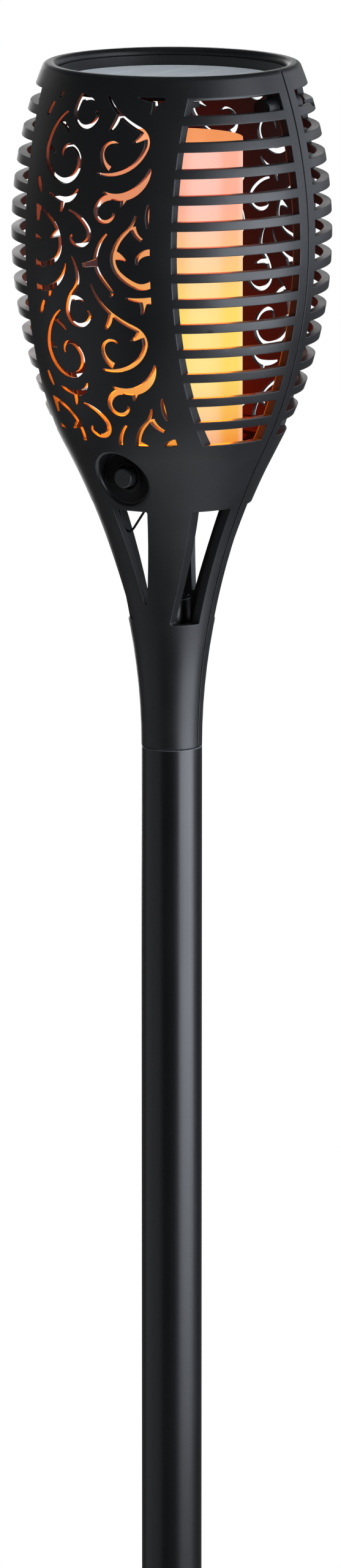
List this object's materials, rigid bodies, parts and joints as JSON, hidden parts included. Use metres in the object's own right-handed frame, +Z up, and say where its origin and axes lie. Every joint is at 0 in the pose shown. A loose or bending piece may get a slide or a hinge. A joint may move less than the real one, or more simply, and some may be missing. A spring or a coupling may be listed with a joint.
{
  "type": "solar garden torch",
  "caption": "Black plug-together garden torch: a pierced lantern head with a glowing tube, a solar panel in its rim and a push button, on a round pole with a ground spike.",
  "frame": {"origin": "on the pole's axis at ground level, the underside of the spike's collar", "axes": "+Z up along the pole, -Y the front with the power button, +X along the seam to the right of the front"},
  "size_m": [0.1148, 0.1148, 1.079],
  "materials": {
    "black_abs": "satin moulded",
    "pole_plastic": "satin extruded",
    "spike_plastic": "moulded",
    "inner_abs": "moulded",
    "screw_steel": "zinc plated",
    "seal_foam": "foam tape",
    "board_laminate": "glass-fibre laminate",
    "silicon": "anti-reflection coated silicon",
    "epoxy_resin": "clear cast",
    "frosted_plastic": "frosted, lit from inside",
    "former_plastic": "moulded",
    "led_white": "moulded lens",
    "cell_wrap": "shrink wrapped can",
    "green_board": "solder mask",
    "button_plastic": "moulded",
    "switch_plastic": "moulded",
    "grommet_rubber": "moulded",
    "lead_pvc": "extruded"
  },
  "bodies": {
    "spike": {"ground_spike": "spike_plastic"},
    "lower_pole": {"lower_pole": "pole_plastic"},
    "upper_pole": {"upper_pole": "pole_plastic"},
    "head": {"front_shell": "black_abs", "rear_shell": "black_abs", "shell_screws": "screw_steel", "solar_tray": "black_abs", "panel_seal": "seal_foam", "panel_board": "board_laminate", "solar_cells": "silicon", "panel_cover": "epoxy_resin", "diffuser": "frosted_plastic", "lamp_screws": "screw_steel", "led_former": "former_plastic", "led_boards": "board_laminate", "leds": "led_white", "battery": "cell_wrap", "lamp_base": "inner_abs", "control_board": "green_board", "base_cover": "inner_abs", "switch_body": "switch_plastic", "lead_grommet": "grommet_rubber", "solar_lead": "lead_pvc"},
    "button": {"power_button": "button_plastic"}
  },
  "joints": [
    {"name": "torch_turn", "type": "hinge", "parent": "spike", "child": "lower_pole", "pos_m": [0, 0, 0.006], "axis": [0, 0, 1], "continuous": true},
    {"name": "upper_pole_pull", "type": "slide", "parent": "lower_pole", "child": "upper_pole", "axis": [0, 0, 1], "range_m": [0, 0.06]},
    {"name": "head_lift", "type": "slide", "parent": "upper_pole", "child": "head", "axis": [0, 0, 1], "range_m": [0, 0.06]},
    {"name": "button_press", "type": "slide", "parent": "head", "child": "button", "axis": [0, 1, 0], "range_m": [0, 0.0015], "stiffness_N_per_m": 800, "springref_m": -0.0005}
  ]
}
